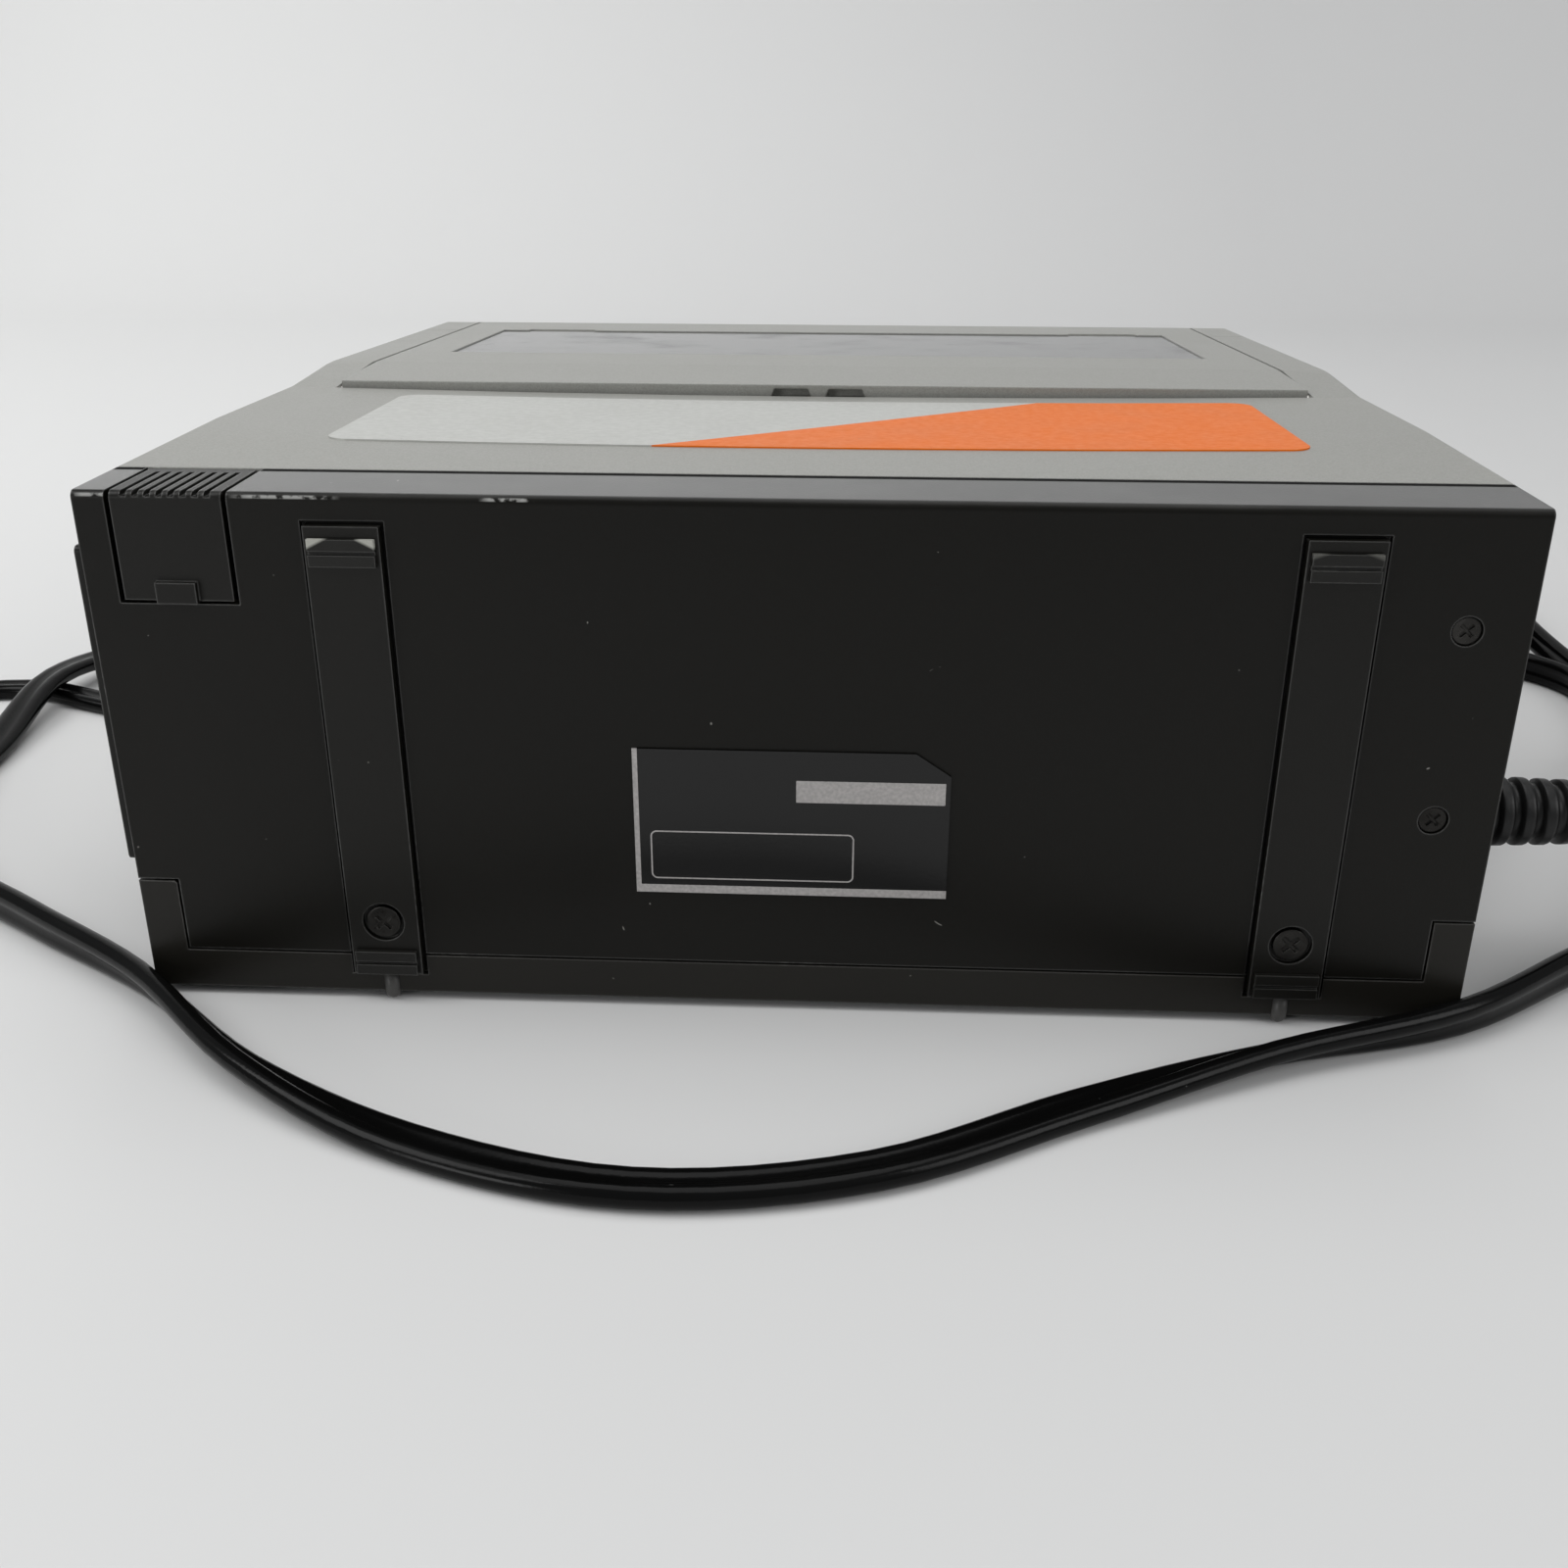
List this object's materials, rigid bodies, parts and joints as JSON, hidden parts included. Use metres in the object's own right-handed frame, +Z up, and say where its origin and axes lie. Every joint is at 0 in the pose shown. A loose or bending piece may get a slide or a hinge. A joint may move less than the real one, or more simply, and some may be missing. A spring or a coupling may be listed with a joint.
{
  "type": "portable video cassette recorder",
  "caption": "Portable top-loading video cassette recorder seen from its rear, with foot rails, aerial switch door, opening cassette lid, tape deck, battery bay and a flat power lead.",
  "frame": {"origin": "middle of the outline on the floor, without the lead", "axes": "+Z up, -Y towards the user at the control face, +Y out of the rear panel, +X to the user's right"},
  "size_m": [0.4403, 0.3176, 0.0857],
  "materials": {
    "case_plastic": "fine-grained black ABS moulding",
    "tray_plastic": "slightly duller black ABS tray",
    "cover_plastic": "satin silver-grey paint on ABS",
    "window_plastic": "smoked clear acrylic",
    "rubber": "moulded black rubber",
    "cord_sheath": "flexible black sheath, satin",
    "plated_steel": "zinc-plated pressed steel",
    "black_steel": "blackened screw",
    "polished_alloy": "finely turned",
    "brass": "turned",
    "circuit_board": "green solder resist",
    "plate": "printed black plate, blank",
    "sticker": "silver and orange sheet, blank",
    "battery_plastic": "dark grey pack",
    "key_plastic": "dark grey key",
    "record_plastic": "red key",
    "white_plastic": "small white knob",
    "display_plastic": "dark glossy pane"
  },
  "bodies": {
    "case": {"bottom_shell": "tray_plastic", "rear_shell": "case_plastic", "top_cover": "cover_plastic", "front_panel": "cover_plastic", "right_side_panel": "case_plastic", "left_side_panel": "case_plastic", "feet": "rubber", "right_foot_rail": "case_plastic", "left_foot_rail": "case_plastic", "rail_pads": "rubber", "rail_screws": "black_steel", "case_screws": "black_steel", "rating_plate": "plate", "top_sticker": "sticker", "rf_converter": "plated_steel", "strap_eyes": "plated_steel", "lid_hinge_pins": "plated_steel", "deck_plate": "plated_steel", "drum_base": "polished_alloy", "lower_drum": "polished_alloy", "capstan_bearing": "brass", "capstan_motor": "plated_steel", "drive_belt": "rubber", "tape_guides": "polished_alloy", "tape_heads": "polished_alloy", "main_board": "circuit_board", "battery_pack": "battery_plastic", "key_board": "circuit_board", "display_window": "display_plastic", "camera_socket": "plated_steel", "av_jacks": "brass", "lead_boot": "rubber", "lead_start": "cord_sheath", "lead_coil": "cord_sheath", "lead_run": "cord_sheath", "lead_plug": "case_plastic"},
    "lid": {"cassette_lid": "cover_plastic", "lid_window": "window_plastic", "cassette_holder": "plated_steel"},
    "drum": {"upper_drum": "polished_alloy"},
    "aerial_door": {"aerial_door": "case_plastic"},
    "channel_switch": {"channel_switch": "white_plastic"},
    "battery_door": {"battery_door": "case_plastic"},
    "power_switch": {"power_switch": "key_plastic"},
    "tracking_knob": {"tracking_knob": "key_plastic"},
    "supply_reel": {"supply_reel": "case_plastic"},
    "take_up_reel": {"take_up_reel": "case_plastic"},
    "idler_wheel": {"idler_wheel": "rubber"},
    "capstan": {"capstan": "plated_steel"},
    "motor_pulley": {"motor_pulley": "brass"},
    "pinch_arm": {"pinch_arm": "plated_steel"},
    "pinch_roller": {"pinch_roller": "rubber"},
    "eject_key": {"eject_key": "key_plastic"},
    "rewind_key": {"rewind_key": "key_plastic"},
    "stop_key": {"stop_key": "key_plastic"},
    "play_key": {"play_key": "key_plastic"},
    "forward_key": {"forward_key": "key_plastic"},
    "pause_key": {"pause_key": "key_plastic"},
    "record_key": {"record_key": "record_plastic"}
  },
  "joints": [
    {"name": "lid_hinge", "type": "hinge", "parent": "case", "child": "lid", "pos_m": [0, 0.0214, 0.0826], "axis": [-1, 0, 0], "range_deg": [0, 30]},
    {"name": "aerial_door_hinge", "type": "hinge", "parent": "case", "child": "aerial_door", "pos_m": [0.0934, 0.10865, 0.0843], "axis": [1, 0, 0], "range_deg": [0, 95]},
    {"name": "channel_switch_slide", "type": "slide", "parent": "case", "child": "channel_switch", "axis": [1, 0, 0], "range_m": [0, 0.003]},
    {"name": "battery_door_hinge", "type": "hinge", "parent": "case", "child": "battery_door", "pos_m": [0.1063, -0.1175, 0.016], "axis": [0, 0, -1], "range_deg": [0, 100]},
    {"name": "eject_key_slide", "type": "slide", "parent": "case", "child": "eject_key", "axis": [0, 0.8552, -0.5183], "range_m": [0, 0.002], "stiffness_N_per_m": 350, "springref_m": -0.001},
    {"name": "rewind_key_slide", "type": "slide", "parent": "case", "child": "rewind_key", "axis": [0, 0.8552, -0.5183], "range_m": [0, 0.002], "stiffness_N_per_m": 350, "springref_m": -0.001},
    {"name": "stop_key_slide", "type": "slide", "parent": "case", "child": "stop_key", "axis": [0, 0.8552, -0.5183], "range_m": [0, 0.002], "stiffness_N_per_m": 350, "springref_m": -0.001},
    {"name": "play_key_slide", "type": "slide", "parent": "case", "child": "play_key", "axis": [0, 0.8552, -0.5183], "range_m": [0, 0.002], "stiffness_N_per_m": 350, "springref_m": -0.001},
    {"name": "forward_key_slide", "type": "slide", "parent": "case", "child": "forward_key", "axis": [0, 0.8552, -0.5183], "range_m": [0, 0.002], "stiffness_N_per_m": 350, "springref_m": -0.001},
    {"name": "pause_key_slide", "type": "slide", "parent": "case", "child": "pause_key", "axis": [0, 0.8552, -0.5183], "range_m": [0, 0.002], "stiffness_N_per_m": 350, "springref_m": -0.001},
    {"name": "record_key_slide", "type": "slide", "parent": "case", "child": "record_key", "axis": [0, 0.8552, -0.5183], "range_m": [0, 0.002], "stiffness_N_per_m": 350, "springref_m": -0.001},
    {"name": "power_switch_slide", "type": "slide", "parent": "case", "child": "power_switch", "axis": [1, 0, 0], "range_m": [0, 0.006]},
    {"name": "tracking_knob_turn", "type": "hinge", "parent": "case", "child": "tracking_knob", "pos_m": [0.076, -0.1214, 0.0376], "axis": [0, -1, 0], "range_deg": [-140, 140]},
    {"name": "drum_spin", "type": "hinge", "parent": "case", "child": "drum", "pos_m": [0, 0.0616, 0.05481], "axis": [0.0958, 0, 0.9954], "continuous": true},
    {"name": "supply_reel_spin", "type": "hinge", "parent": "case", "child": "supply_reel", "pos_m": [-0.046, -0.0444, 0.05], "axis": [0, 0, 1], "continuous": true},
    {"name": "take_up_reel_spin", "type": "hinge", "parent": "case", "child": "take_up_reel", "pos_m": [0.046, -0.0444, 0.05], "axis": [0, 0, 1], "continuous": true},
    {"name": "idler_spin", "type": "hinge", "parent": "case", "child": "idler_wheel", "pos_m": [0.02168, -0.02616, 0.05], "axis": [0, 0, 1], "continuous": true},
    {"name": "capstan_spin", "type": "hinge", "parent": "case", "child": "capstan", "pos_m": [0.062, 0.0196, 0.05], "axis": [0, 0, 1], "continuous": true},
    {"name": "motor_spin", "type": "hinge", "parent": "case", "child": "motor_pulley", "pos_m": [0.072, 0.0756, 0.042], "axis": [0, 0, 1], "continuous": true},
    {"name": "pinch_arm_swing", "type": "hinge", "parent": "case", "child": "pinch_arm", "pos_m": [0.07914, 0.01912, 0.06], "axis": [0, 0, 1], "range_deg": [0, 8], "stiffness_Nm_per_rad": 0.02, "springref_deg": -5.73},
    {"name": "pinch_roller_spin", "type": "hinge", "parent": "pinch_arm", "child": "pinch_roller", "pos_m": [0.06794, 0.02752, 0.06], "axis": [0, 0, 1], "continuous": true}
  ],
  "couplings": [
    {"joint": "idler_spin", "follows": "take_up_reel_spin", "ratio": -1.5},
    {"joint": "motor_spin", "follows": "capstan_spin", "ratio": 9}
  ]
}
